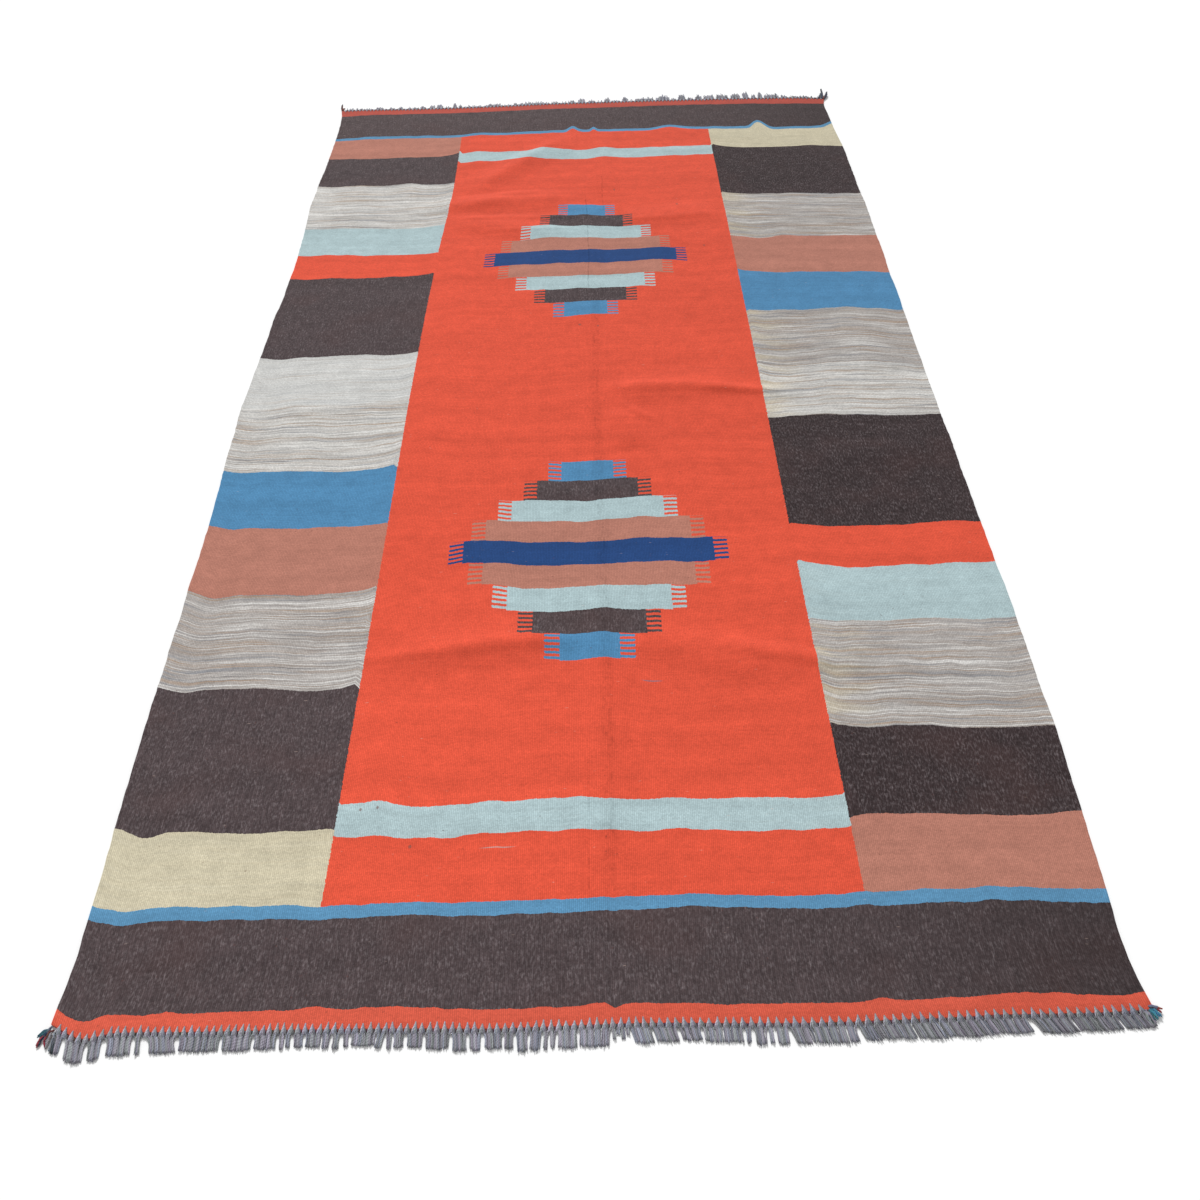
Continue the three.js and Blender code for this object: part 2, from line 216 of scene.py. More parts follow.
# Borders woven across the whole width, from each end inwards
Bar = namedtuple("Bar", "wool length")
NEAR_BORDER = table(Bar, ("near_red", 0.0293), ("dark", 0.145), ("line_blue", 0.0225))
FAR_BORDER = table(Bar, ("far_red", 0.037), ("far_dark", 0.158), ("line_blue", 0.016))
BORDER_REACH = 0.21
INNER_LENGTH = WEAVE_LENGTH - sum(bar.length for bar in NEAR_BORDER + FAR_BORDER)

# The left column's bars from the near end to the far end: the right column has them turned round
COLUMN_BARS = table(
    Bar,
    ("cream", 0.128), ("dark", 0.296), ("grey", 0.236), ("tan", 0.188), ("blue", 0.176),
    ("streaked", 0.232), ("ivory", 0.196), ("dark", 0.352), ("red", 0.116), ("pale", 0.142),
    ("streaked", 0.25), ("dark", 0.176), ("tan", 0.132),
)

# The right column's undyed wools are a shade darker
RIGHT_WOOLS = {"dark": "black_brown", "streaked": "grey", "ivory": "streaked"}

# The field: a pale stripe near each end, and two stepped diamonds built of bars
FIELD_STRIPE_INSET = 0.118
FIELD_STRIPE = 0.06
DIAMOND_CENTRES = 0.56
DIAMOND_MIDDLE_BAR = 0.066
DIAMOND_BAR = 0.062
Step = namedtuple("Step", "wool half_width")
DIAMOND_STEPS = table(
    Step,
    ("navy", 0.27), ("tan", 0.225), ("pale", 0.17), ("dark", 0.115), ("blue", 0.06),
)
COMB_LENGTH = 0.03
COMB_PITCH = 0.0124

# Small marks in the field: a place, half its size each way, and its wool
Mark = namedtuple("Mark", "across along half_across half_along wool")
MARKS = table(
    Mark,
    (-0.176, -1.225, 0.03, 0.0012, "grey"), (0.107, -0.886, 0.02, 0.0016, "teal"),
    (-0.328, -1.215, 0.003, 0.0035, "brown"), (0.087, 0.926, 0.003, 0.004, "brown"),
    (0.274, 0.825, 0.004, 0.0045, "brown"), (0.336, 0.608, 0.003, 0.0035, "brown"),
    (-0.024, 0.236, 0.004, 0.004, "brown"), (0.024, 0.226, 0.003, 0.0035, "brown"),
    (-0.423, -1.15, 0.0025, 0.003, "brown"), (-0.393, -1.151, 0.0025, 0.003, "brown"),
)

# How far apart the knots of each end stand: closer together at the left of the near end
Spacing = namedtuple("Spacing", "across pitch")
NEAR_SPACING = millimetres(
    Spacing,
    (-858, 11.7), (-660, 11.4), (-550, 10.8), (-250, 11.6), (-50, 11.9), (100, 12.4), (250, 13.4),
    (400, 14.3), (600, 14.4), (858, 13.9),
)
FAR_SPACING = millimetres(Spacing, (-858, 12.6), (858, 12.6))

Lock = namedtuple("Lock", "knots lean length gather")


def lock_row(knots, lean, length, gather=0.0):
    return Lock(knots, lean / 1000, length / 1000, gather)


# Locks of the fringe, from left to right: how many knots wide each is, how far it leans to the right
# and how long it hangs past its strip in millimetres, and how much of its width its tip draws in
NEAR_LOCKS = table(
    lock_row,
    (1.4, 1, 23.5, 0.2), (3.3, 3, 26, 0.08), (2.0, 3, 26, 0.1), (4.1, 4, 24, 0.14), (1.0, 4, 23.5, 0.1),
    (5.0, 7, 21.5, 0.24), (5.9, 1, 19.5, 0.02), (4.5, 1, 19.5, 0.02), (3.6, 1, 18, 0.04), (0.9, 1, 19),
    (1.0, 1, 16), (1.7, 2, 17, 0.05), (2.5, 1, 16.5), (1.2, 0, 18.5), (1.5, 0, 19, 0.1), (1.2, 1, 16, 0.2),
    (3.6, 0, 15.5), (1.3, -4, 18.5), (0.7, 1, 20), (1.9, 1, 18, 0.1), (2.5, 1, 18, 0.08), (3.4, 1, 20.5),
    (2.3, 3, 23), (2.0, 2, 22, 0.1), (2.7, 2, 20), (1.6, 0, 20.5), (1.8, 1, 25), (1.7, -1, 25),
    (0.9, 0, 23), (0.9, 0, 21.5, 0.1), (2.9, 1, 23.5), (4.2, 0, 22.5), (0.6, 2, 13), (0.6, 0, 6),
    (0.6, 1, 13), (0.6, 1, 7), (2.5, 8, 20), (3.4, 7, 18, 0.05), (2.9, 5, 16), (5.1, 2, 18.5), (1.0, 0, 19),
    (1.7, 1, 22), (0.8, 2, 20), (1.7, 2, 21.5), (2.2, 8, 21, 0.1), (5.4, 5, 21.5), (2.0, 10, 19.5),
    (2.2, 10, 18), (1.5, 9, 19), (4.0, 11, 20), (4.6, 12, 20.5), (4.1, 9, 18, 0.1), (4.7, 14, 19.5, 0.16),
    (5.0, 10, 17.5, 0.04), (3.6, 10, 16.5),
)
FAR_LOCKS = table(
    lock_row,
    (3.0, 0, 1), (0.9, 0, 8), (2.0, 1, 1), (0.7, 0, 8), (2.0, 0, 0), (2.6, 1, 13, 0.15), (1.4, 0, 0),
    (0.7, 1, 14), (1.4, 0, 1), (2.0, 0, 7), (0.9, 0, 0), (1.4, 1, 7), (2.2, 0, 1), (2.3, -2, 12, 0.1),
    (2.3, 2, 18, 0.2), (2.3, 0, 24, 0.2), (2.3, 0, 3), (1.7, -2, 26, 0.2), (1.4, 0, 10), (5.4, 0, 4),
    (6.0, 2, 10, 0.03), (2.8, 0, 1), (10.6, 0, 9, 0.02), (4.8, 0, 2), (2.6, 1, 9), (3.1, 0, 28, 0.3),
    (2.8, -1, 12, 0.1), (1.7, 0, 2), (2.3, 2, 25, 0.15), (2.8, 0, 6), (2.6, 0, 25, 0.2), (1.1, 0, 3),
    (6.0, 2, 17, 0.05), (4.7, 0, 28, 0.08), (1.7, 0, 4), (2.8, 1, 33, 0.15), (2.0, 0, 6),
    (2.6, 2, 25, 0.15), (3.7, 0, 25, 0.08), (4.0, -2, 28, 0.1), (3.4, 1, 33, 0.1), (2.6, 0, 43, 0.2),
    (1.7, 0, 18), (2.0, 2, 36, 0.2), (4.8, 0, 27, 0.05), (2.3, 0, 10), (7.2, 0, 4, 0.02), (2.4, 0, 2),
)

# Warp yarn is grey with a bluish, lilac or greenish cast
YARN_TINTS = ((0.92, 0.97, 1.2), (1.02, 0.94, 1.15), (0.95, 1.01, 1.04), (1.00, 0.97, 1.1))

# Corner tufts. Each row is a few yarns side by side: their colour and number, where they start, bend
# and end, across and along from the tuft's corner, and how high their ends stand, in millimetres
TUFT_COLOURS = {
    "teal": (0.04, 0.175, 0.265),
    "deep_teal": (0.028, 0.085, 0.12),
    "navy": (0.02, 0.034, 0.07),
    "red": (0.26, 0.03, 0.042),
    "rust": (0.22, 0.06, 0.04),
    "slate": (0.125, 0.13, 0.185),
    "grey": (0.21, 0.215, 0.25),
    "charcoal": (0.05, 0.055, 0.068),
    "brown": (0.105, 0.038, 0.036),
}
Tuft = namedtuple("Tuft", "node corner radius rows")
TUFTS = table(
    Tuft,
    ("tuft_near_left", (-0.85, -1.52), 0.0015, (
        ("brown", 3, 2, 2, -3, -3, -7, -10, 3), ("slate", 2, -2, 6, -6, 1, -10, -5, 3),
        ("deep_teal", 5, -4, 2, -12, -2, -18, -9, 3), ("navy", 4, -3, 0, -10, -5, -14, -13, 2),
        ("charcoal", 2, -6, -3, -12, -10, -15, -20, 0), ("red", 2, -10, -6, -15, -13, -18, -22, 0),
        ("red", 1, -7, -8, -9, -16, -6, -25, 0), ("grey", 3, 0, -1, -2, -12, -5, -24, 0),
        ("grey", 4, 4, -2, 5, -16, 4, -30, 0), ("charcoal", 2, 5, -4, 7, -18, 8, -34, 0),
    )),
    ("tuft_near_right", (0.85, -1.525), 0.0015, (
        ("slate", 4, -2, 3, 4, 3.5, 11, 1.5, 5), ("rust", 2, 1, 2, 9, 1.5, 16, -2, 4),
        ("red", 2, 6, 1, 11, -1, 16.5, -5, 3), ("teal", 6, 0, 0, 6, -3, 12, -10, 3),
        ("teal", 6, -1, -2, 3, -7, 7, -14, 2), ("deep_teal", 3, -2, -2, 0, -10, 3, -19, 1),
        ("grey", 5, -7, -2, -3, -12, 2, -22, 0), ("grey", 5, -10, -2, -7, -14, -3, -25, 0),
        ("charcoal", 2, -7, -4, -4, -15, 0, -24, 0),
    )),
    ("tuft_far_left", (-0.85, 1.482), 0.0019, (
        ("brown", 3, -3, 0, -4.5, 11, -3.5, 24, 9), ("charcoal", 2, -4, 3, -5.5, 14, -5, 26, 11),
        ("rust", 2, -1, -1, 0, 6, 2, 13, 4), ("brown", 2, 0, 0, 1, 7, 3, 16, 2),
    )),
    ("tuft_far_right", (0.847, 1.508), 0.0026, (
        ("brown", 4, 0, -6, 3, 2, 6, 9, 4), ("navy", 3, -13, 0, -11, 11, -8, 22, 2),
        ("charcoal", 3, -8, 0, -6, 15, -3, 32, 3), ("navy", 3, -3, 0, -2, 19, 0, 39, 5),
        ("charcoal", 3, 0, 0, 1, 24, 1, 52, 9), ("charcoal", 3, 3, -1, 11, 16, 19, 37, 6),
        ("navy", 2, 5, -2, 12, 12, 17, 28, 5),
    )),
)

# Camera: its place over the middle of the weave's top face, and its axes
CAMERA_PLACE = (0.00369, -1.86668, 1.52613)
CAMERA_RIGHT = (0.99977, -0.01956, -0.00909)
CAMERA_DOWN = (-0.02107, -0.79578, -0.60522)
CAMERA_FORWARD = (0.0046, 0.60527, -0.79601)
SENSOR = 36.0
PHOTO_SIDE = 1200
FOCAL_PIXELS = 919

# Light: its strength, softness and direction in degrees, and the even light of the room
LIGHT_STRENGTH = 3.15
LIGHT_SOFTNESS = 14
LIGHT_ELEVATION = 38
LIGHT_FROM_LEFT = 12
ROOM_STRENGTH = 0.56
FLOOR_SIZE = 9.0
FLOOR_LEVEL = -0.0004

# Curves and smooth shapes


def curve_through(rows, place, value, at):
    """Smooth curve through one column of a table, level beyond its first and last row."""
    places = np.array([getattr(row, place) for row in rows])
    values = np.array([getattr(row, value) for row in rows])
    chords = np.diff(values) / np.diff(places)
    inner = (values[2:] - values[:-2]) / (places[2:] - places[:-2])
    slopes = np.concatenate([chords[:1], inner, chords[-1:]])
    at = np.clip(at, places[0], places[-1])
    i = np.clip(np.searchsorted(places, at, side="right") - 1, 0, len(places) - 2)
    span = places[i + 1] - places[i]
    t = (at - places[i]) / span
    start, end = slopes[i] * span, slopes[i + 1] * span
    rise = values[i + 1] - values[i]
    bend = 3 * rise - 2 * start - end
    twist = start + end - 2 * rise
    return values[i] + t * (start + t * (bend + t * twist))


def joins_at(along):
    return curve_through(JOINS, "along", "left", along), curve_through(JOINS, "along", "right", along)


def smooth_step(low, high, at):
    t = np.clip((at - low) / (high - low), 0, 1)
    return t * t * (3 - 2 * t)


def ripples(x, y, size, waves, seed):
    """Uneven ripples between 0 and size, made of a few slanting waves."""
    draw = random.Random(seed)
    total = np.zeros(np.broadcast(x, y).shape)
    count = 7
    for _ in range(count):
        turn = draw.uniform(0, math.tau)
        rate = math.tau * waves * draw.uniform(0.6, 1.5)
        total = total + np.sin(rate * (x * math.cos(turn) + y * math.sin(turn)) + draw.uniform(0, math.tau))
    return size * (0.5 + 0.5 * np.clip(total / math.sqrt(2 * count), -1, 1))


def fold_lift(fold, x, y, sway=0.0):
    """How high a fold lifts the cloth: nothing beyond its reach and at its ends."""
    run_x, run_y = fold.to_x - fold.from_x, fold.to_y - fold.from_y
    length = math.hypot(run_x, run_y)
    along = ((x - fold.from_x) * run_x + (y - fold.from_y) * run_y) / length**2
    across = ((x - fold.from_x) * run_y - (y - fold.from_y) * run_x) / length + sway
    inside = (along > 0) & (along < 1) & (np.abs(across) < fold.reach)
    fade = smooth_step(0, FOLD_FADE, np.minimum(along, 1 - along))
    bump = np.cos(math.pi * np.clip(across / fold.reach, -1, 1) / 2) ** 2
    return np.where(inside, fold.height * fade * bump, 0.0)


def weft_drift(across, along, from_end):
    """How far the weft lines stand above their even place."""
    drift = np.zeros(np.broadcast(across, along).shape)
    for wave in WEFT_DRIFT:
        drift += wave.size * np.sin(math.tau * (across * wave.across + along * wave.along) + wave.start)
    drift *= smooth_step(0.1, 0.34, from_end)
    for hump in WEFT_HUMPS:
        far_x = (across - hump.across) / hump.reach_across
        far_y = (along - hump.along) / hump.reach_along
        drift += hump.rise * np.exp(-(far_x**2 + far_y**2))

    # The bars lift unevenly beside the joins
    left, right = joins_at(along)
    swing = 1 + 0.5 * np.sin(math.tau * along / 0.37) + 0.35 * np.sin(math.tau * along / 0.23 + 1)
    into_left = np.exp(-np.clip(left - across, 0, 1) / EDGE_LIFT_REACH) * (across < left)
    into_right = np.exp(-np.clip(across - right, 0, 1) / EDGE_LIFT_REACH) * (across > right)
    inner_left = np.exp(-(((across - left - 0.062) / 0.036) ** 2))
    border_fade = smooth_step(0.2, 0.3, from_end)
    drift += EDGE_LIFT * swing * border_fade * (into_left + into_right + 0.6 * inner_left)
    return drift * smooth_step(0, END_FADE, from_end)


def closer_over(count, span, stretches):
    """Places from 0 to 1 across a span, closer together over the given stretches of it."""
    at = np.linspace(0, 1, 4001)
    place = (at - 0.5) * span
    dense = np.zeros_like(at)
    margin = 0.05
    for low, high in stretches:
        within = smooth_step(low - margin, low, place) * smooth_step(high + margin, high, place)
        dense = np.maximum(dense, within)
    passed = np.cumsum(1 + CLOSER * dense)
    passed = (passed - passed[0]) / (passed[-1] - passed[0])
    return np.interp(np.linspace(0, 1, count + 1), passed, at)


def fold_stretches():
    """The stretches across and along the rug where narrow ridges and creases run."""
    across, along = [], []
    for fold in FOLDS + RIDGES + CREASES:
        if abs(fold.to_y - fold.from_y) > 3 * abs(fold.to_x - fold.from_x):
            across.append(sorted((fold.from_x, fold.to_x)))
        else:
            along.append(sorted((fold.from_y, fold.to_y)))
    return across, along


# Meshes


def placed(name, data):
    """A new object in the scene."""
    obj = bpy.data.objects.new(name, data)
    bpy.context.scene.collection.objects.link(obj)
    return obj


class Shape:
    """Points, faces, uv maps and point tones of one piece, gathered before its mesh is made."""

    def __init__(self):
        self.points, self.faces, self.tones, self.maps = [], [], [], {}

    def add(self, points, faces, tone=(0.5, 0.5, 0.5), **maps):
        start = len(self.points)
        self.points.extend(points)
        self.tones.extend([tone] * len(points))
        self.faces.extend([tuple(start + i for i in face) for face in faces])
        for name, corners in maps.items():
            self.maps.setdefault(name, []).extend(corners)

    def piece(self, name, material):
        mesh = bpy.data.meshes.new(name)
        mesh.from_pydata((np.array(self.points) + (*WEAVE_MIDDLE, 0.0)).tolist(), [], self.faces)
        for map_name, corners in self.maps.items():
            layer = mesh.uv_layers.new(name=map_name)
            layer.data.foreach_set("uv", np.asarray(corners, dtype=np.float32).ravel())
        tones = mesh.color_attributes.new("tone", "FLOAT_COLOR", "POINT")
        values = np.ones((len(self.points), 4), dtype=np.float32)
        values[:, :3] = np.array(self.tones)
        tones.data.foreach_set("color", values.ravel())
        mesh.polygons.foreach_set("use_smooth", [True] * len(self.faces))
        mesh.materials.append(material)
        mesh.update()
        return placed(name, mesh)


def tube(shape, path, radii, tone, sides=6, lobes=0.14):
    """A closed yarn along a path, its section swelling into two lobes that turn along it."""
    path, radii = np.array(path), np.array(radii)
    steps = len(path)
    ahead = np.gradient(path, axis=0)
    ahead /= np.linalg.norm(ahead, axis=1)[:, None]
    up = np.array([0.0, 0.0, 1.0])
    if abs(ahead[0] @ up) > 0.9:
        up = np.array([1.0, 0.0, 0.0])
    side = np.cross(ahead, up)
    side /= np.linalg.norm(side, axis=1)[:, None]
    over = np.cross(side, ahead)
    lengths = np.concatenate([[0.0], np.cumsum(np.linalg.norm(np.diff(path, axis=0), axis=1))])
    angles = math.tau * np.arange(sides) / sides
    arms = radii[:, None] * (1 + lobes * np.cos(2 * angles - YARN_TWIST * lengths[:, None]))
    spokes = np.cos(angles)[:, None] * side[:, None] + np.sin(angles)[:, None] * over[:, None]
    rings = path[:, None] + arms[..., None] * spokes
    rings[..., 2] = np.maximum(rings[..., 2], 0.0)

    phase = (path[0, 0] * 997.0) % 1.0
    faces, corners = [], []
    for i in range(steps - 1):
        for k in range(sides):
            n = (k + 1) % sides
            faces.append((i * sides + k, i * sides + n, (i + 1) * sides + n, (i + 1) * sides + k))
            around = ((i, k), (i, k + 1), (i + 1, k + 1), (i + 1, k))
            corners.extend((turn / sides + phase, lengths[step]) for step, turn in around)
    faces.append(tuple(range(sides))[::-1])
    faces.append(tuple((steps - 1) * sides + k for k in range(sides)))
    corners.extend([(0.5, 0.0)] * sides + [(0.5, lengths[-1])] * sides)
    shape.add(rings.reshape(-1, 3).tolist(), faces, tone, yarn=corners)


def level_path(points, count):
    """Evenly divided smooth path through a few places."""
    knots = np.linspace(0, 1, len(points))
    at = np.linspace(0, 1, count)
    Row = namedtuple("Row", "at x y z")
    rows = [Row(t, *point) for t, point in zip(knots, points)]
    return np.stack([curve_through(rows, "at", axis, at) for axis in "xyz"], axis=1)


# Materials


class Value:
    """A number or colour that the nodes of a material work out, for sums with the usual signs."""

    def __init__(self, nodes, socket):
        self.nodes, self.socket = nodes, socket

    def __abs__(self):
        return self.nodes.math("ABSOLUTE", self)

    def __rsub__(self, other):
        return self.nodes.math("SUBTRACT", other, self)


SIGNS = {
    "add": "ADD", "radd": "ADD", "sub": "SUBTRACT", "mul": "MULTIPLY", "truediv": "DIVIDE",
    "mod": "FLOORED_MODULO", "gt": "GREATER_THAN", "lt": "LESS_THAN",
}
for sign, operation in SIGNS.items():
    setattr(Value, f"__{sign}__", lambda a, b, operation=operation: a.nodes.math(operation, a, b))


class Nodes:
    """Builds the node tree of one material: most methods add a node and give what it works out."""

    def __init__(self, name):
        self.material = bpy.data.materials.new(name)
        self.material.use_nodes = True
        self.tree = self.material.node_tree
        self.tree.nodes.clear()

    def node(self, kind, inputs=(), **settings):
        made = self.tree.nodes.new(kind)
        for key, value in settings.items():
            setattr(made, key, value)
        for key, value in dict(inputs).items():
            if isinstance(value, Value):
                self.tree.links.new(value.socket, made.inputs[key])
            else:
                made.inputs[key].default_value = value
        return made

    def value(self, kind, inputs=(), output=0, **settings):
        return Value(self, self.node(kind, inputs, **settings).outputs[output])

    def parts(self, kind, whole):
        return [Value(self, part) for part in self.node(kind, {0: whole}).outputs]

    def math(self, operation, *values):
        return self.value("ShaderNodeMath", enumerate(values), operation=operation)

    def uv(self, name):
        return self.parts("ShaderNodeSeparateXYZ", self.value("ShaderNodeUVMap", uv_map=name))[:2]

    def place(self, x, y, z=0.0):
        return self.value("ShaderNodeCombineXYZ", {0: x, 1: y, 2: z})

    def noise(self, x, y, rate_x, rate_y, seed=0.0, detail=2.0, roughness=0.5):
        """Smooth noise about 0.5, with so many changes a metre each way."""
        where = self.place(x * rate_x, y * rate_y, seed)
        inputs = {"Vector": where, "Scale": 1.0, "Detail": detail, "Roughness": roughness}
        return self.value("ShaderNodeTexNoise", inputs, "Fac")

    def between(self, value, low, high, out_low=0.0, out_high=1.0):
        inputs = {"Value": value, "From Min": low, "From Max": high, "To Min": out_low, "To Max": out_high}
        return self.value("ShaderNodeMapRange", inputs, clamp=True)

    def mix(self, share, a, b, blend="MIX"):
        return self.value("ShaderNodeMix", {0: share, 6: a, 7: b}, 2, data_type="RGBA", blend_type=blend)

    def shaded(self, colour, tone):
        """The colour times a grey tone."""
        return self.mix(1.0, colour, self.place(tone, tone, tone), "MULTIPLY")

    def steps(self, value, colours):
        """Colour and alpha of a numbered list, looked up by a whole number."""
        made = self.node("ShaderNodeValToRGB", {0: (value + 0.5) / len(colours)})
        ramp = made.color_ramp
        ramp.interpolation = "CONSTANT"
        while len(ramp.elements) < len(colours):
            ramp.elements.new(1.0)
        for i, colour in enumerate(colours):
            ramp.elements[i].position = i / len(colours)
            ramp.elements[i].color = colour
        return [Value(self, output) for output in made.outputs]

    def finish(self, colour, height, strength, distance, **sockets):
        """The finished material, with its relief as a bump."""
        bump = self.value("ShaderNodeBump", {"Strength": strength, "Distance": distance, "Height": height})
        inputs = {"Base Color": colour, "Normal": bump}
        inputs.update((key.replace("_", " "), value) for key, value in sockets.items())
        self.node("ShaderNodeOutputMaterial", {0: self.value("ShaderNodeBsdfPrincipled", inputs)})
        return self.material


def between_borders(bars):
    """All bars from the near edge of the weave to the far edge."""
    return [*NEAR_BORDER, *bars, *FAR_BORDER[::-1]]


def column_layout(turned):
    fit = INNER_LENGTH / sum(bar.length for bar in COLUMN_BARS)
    bars = [Bar(bar.wool, bar.length * fit) for bar in COLUMN_BARS]
    if turned:
        bars = [Bar(RIGHT_WOOLS.get(bar.wool, bar.wool), bar.length) for bar in bars[::-1]]
    return between_borders(bars)


def field_layout():
    end = [Bar("red", FIELD_STRIPE_INSET), Bar("pale", FIELD_STRIPE)]
    middle = INNER_LENGTH - 2 * (FIELD_STRIPE_INSET + FIELD_STRIPE)
    return between_borders([*end, Bar("red", middle), *end[::-1]])


def plain_bars(n, across, thread):
    """The wool of the side columns and of the field with its diamonds, and how streaky it is."""

    def count_passed(value, edges):
        return sum(value > float(edge) for edge in edges)

    def bars_of(layout):
        index = count_passed(thread, np.cumsum([bar.length for bar in layout[:-1]]))
        return n.steps(index, [WOOLS[bar.wool] for bar in layout])

    left, left_streak = bars_of(column_layout(False))
    right, right_streak = bars_of(column_layout(True))
    field, field_streak = bars_of(field_layout())

    # Stepped diamonds: bars counted out from the middle of the nearer one
    to_middle = abs(thread - WEAVE_LENGTH / 2)
    rings = len(DIAMOND_STEPS)
    edges = [DIAMOND_MIDDLE_BAR / 2 + i * DIAMOND_BAR for i in range(rings)]
    ring = count_passed(abs(to_middle - DIAMOND_CENTRES), edges)
    diamond = n.steps(ring, [WOOLS[step.wool] for step in DIAMOND_STEPS] + [WOOLS["red"]])[0]
    halves = [(step.half_width,) * 3 + (1,) for step in DIAMOND_STEPS]
    half = n.steps(ring, halves + [(0, 0, 0, 1)])[0]
    from_axis = abs(across - (JOIN_LEFT + JOIN_RIGHT) / 2)
    comb = n.math("FRACT", thread / COMB_PITCH) > 0.5
    inside = (from_axis < half + comb * COMB_LENGTH) * (ring < rings - 0.5)
    field = n.mix(inside, field, diamond)

    in_left = across < JOIN_LEFT
    in_right = across > JOIN_RIGHT
    in_field = 1 - (in_left + in_right)
    wool = n.mix(in_right, n.mix(in_left, field, left), right)
    return wool, field_streak * in_field + left_streak * in_left + right_streak * in_right


def undyed_streaks(n, wool, streaky, warp, weft, across):
    """Handspun undyed wool: dashes and bands of pale, tan, slate and bark fibres along the wefts."""
    dash = n.noise(warp, weft, 5, 300, 1, roughness=0.6)
    band = n.noise(warp, weft, 1.5, 44, 3)
    shade = dash * 0.66 + band * 0.34
    hue = n.noise(warp, weft, 3.5, 120, 9, detail=1)
    darker = n.mix(n.between(hue, 0.44, 0.56), TAN_FIBRE, SLATE_FIBRE)
    wool = n.mix(n.between(shade, 0.49, 0.61, 0, 0.8) * streaky, wool, darker)
    wool = n.mix(n.between(shade, 0.47, 0.38, 0, 0.52) * streaky, wool, PALE_FIBRE)
    thin = n.noise(warp, weft, 6, 420, 12)
    wool = n.mix(n.between(thin, 0.58, 0.72, 0, 0.6) * streaky, wool, BARK_FIBRE)
    by_join = n.between(abs(across - JOIN_RIGHT), 0.12, 0.01, 0, 0.5)
    warm = n.between(n.noise(warp, weft, 6, 45, 18), 0.45, 0.6)
    return n.mix(by_join * warm * streaky, wool, CREAM_FIBRE)


def field_marks(n, wool, warp, weft):
    """Small stray spots of other wool, and painted shade in the slits between wefts and in flecks along the
    middle fold crease.
    """
    along = weft - WEAVE_LENGTH / 2
    for mark in MARKS:
        far_x = (warp - mark.across) / mark.half_across
        far_y = (along - mark.along) / mark.half_along
        spot = n.between(far_x * far_x + far_y * far_y, 1.3, 0.5, 0, 0.65)
        wool = n.mix(spot, wool, (*WOOLS[mark.wool][:3], 1))

    # Painted shade along one line, which fades in at both ends
    def painted_line_shade(slit, how):
        off = abs(warp - slit.across)
        within = n.between(off, slit.half_width * 1.5, slit.half_width * 0.4)
        fade = 0.03
        begun = n.between(along, slit.from_along, slit.from_along + fade)
        ended = n.between(along, slit.to_along, slit.to_along - fade)
        return n.shaded(wool, 1 - within * begun * ended * how * slit.depth)

    ragged = n.between(n.noise(warp, weft, 40, 60, 21), 0.4, 0.55, 0.25, 1)
    for slit in SLITS:
        wool = painted_line_shade(slit, ragged)
    flecks = n.between(n.noise(warp, weft, 110, 60, 24, detail=3, roughness=0.65), 0.5, 0.68)
    return painted_line_shade(FOLD_CREASE_SHADE, flecks * 0.8 + 0.2)


